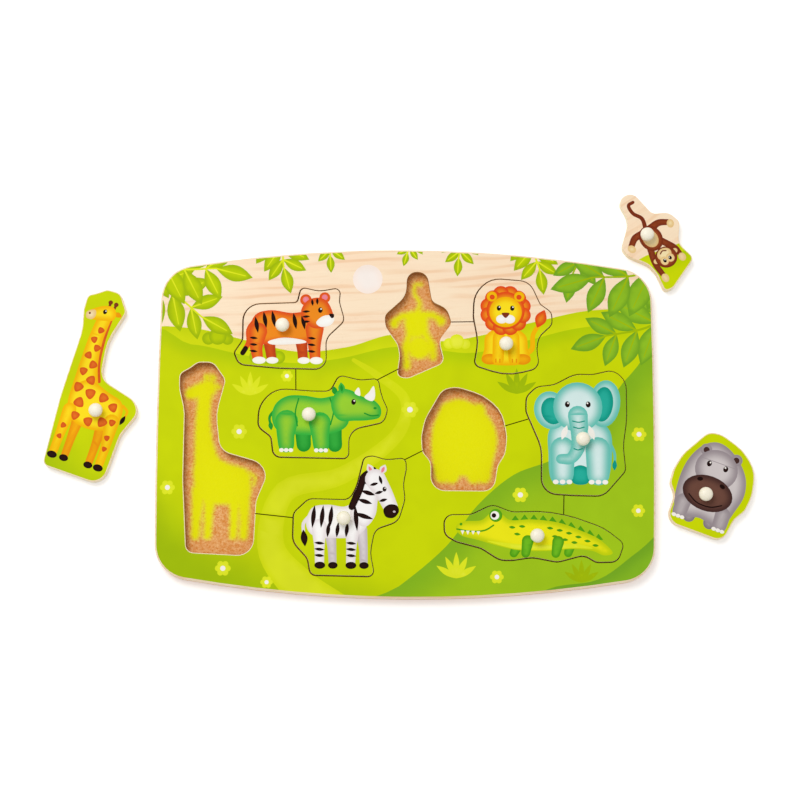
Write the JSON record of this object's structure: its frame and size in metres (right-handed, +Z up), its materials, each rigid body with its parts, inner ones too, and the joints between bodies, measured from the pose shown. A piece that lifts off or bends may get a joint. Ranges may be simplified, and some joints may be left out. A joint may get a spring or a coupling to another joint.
{
  "type": "wooden peg puzzle",
  "caption": "Barrel-shaped printed wooden board with sawn animal pockets and flat lift-out animal pieces, each with a small turned peg to hold it by.",
  "frame": {"origin": "middle of the board's underside", "axes": "+X along the board's long way to the right, +Y to its upper edge, +Z up out of the printed face"},
  "size_m": [0.4272, 0.2493, 0.017],
  "materials": {
    "fibreboard": "matt bare fibreboard",
    "printed_sheet": "satin print on light wood",
    "peg_wood": "smooth pale wood",
    "tiger_print": "satin print on light wood",
    "monkey_print": "satin print on light wood",
    "lion_print": "satin print on light wood",
    "rhino_print": "satin print on light wood",
    "giraffe_print": "satin print on light wood",
    "hippo_print": "satin print on light wood",
    "elephant_print": "satin print on light wood",
    "zebra_print": "satin print on light wood",
    "crocodile_print": "satin print on light wood"
  },
  "bodies": {
    "board": {"backing_panel": "fibreboard", "top_frame": "printed_sheet"},
    "tiger": {"tiger_piece": "tiger_print", "tiger_peg": "peg_wood"},
    "monkey": {"monkey_piece": "monkey_print", "monkey_peg": "peg_wood"},
    "lion": {"lion_piece": "lion_print", "lion_peg": "peg_wood"},
    "rhino": {"rhino_piece": "rhino_print", "rhino_peg": "peg_wood"},
    "giraffe": {"giraffe_piece": "giraffe_print", "giraffe_peg": "peg_wood"},
    "hippo": {"hippo_piece": "hippo_print", "hippo_peg": "peg_wood"},
    "elephant": {"elephant_piece": "elephant_print", "elephant_peg": "peg_wood"},
    "zebra": {"zebra_piece": "zebra_print", "zebra_peg": "peg_wood"},
    "crocodile": {"crocodile_piece": "crocodile_print", "crocodile_peg": "peg_wood"}
  },
  "joints": [
    {"name": "tiger_lift", "type": "slide", "parent": "board", "child": "tiger", "axis": [0, 0, 1], "range_m": [0, 0.03]},
    {"name": "monkey_lift", "type": "slide", "parent": "board", "child": "monkey", "axis": [0, 0, 1], "range_m": [0, 0.03]},
    {"name": "lion_lift", "type": "slide", "parent": "board", "child": "lion", "axis": [0, 0, 1], "range_m": [0, 0.03]},
    {"name": "rhino_lift", "type": "slide", "parent": "board", "child": "rhino", "axis": [0, 0, 1], "range_m": [0, 0.03]},
    {"name": "giraffe_lift", "type": "slide", "parent": "board", "child": "giraffe", "axis": [0, 0, 1], "range_m": [0, 0.03]},
    {"name": "hippo_lift", "type": "slide", "parent": "board", "child": "hippo", "axis": [0, 0, 1], "range_m": [0, 0.03]},
    {"name": "elephant_lift", "type": "slide", "parent": "board", "child": "elephant", "axis": [0, 0, 1], "range_m": [0, 0.03]},
    {"name": "zebra_lift", "type": "slide", "parent": "board", "child": "zebra", "axis": [0, 0, 1], "range_m": [0, 0.03]},
    {"name": "crocodile_lift", "type": "slide", "parent": "board", "child": "crocodile", "axis": [0, 0, 1], "range_m": [0, 0.03]}
  ]
}
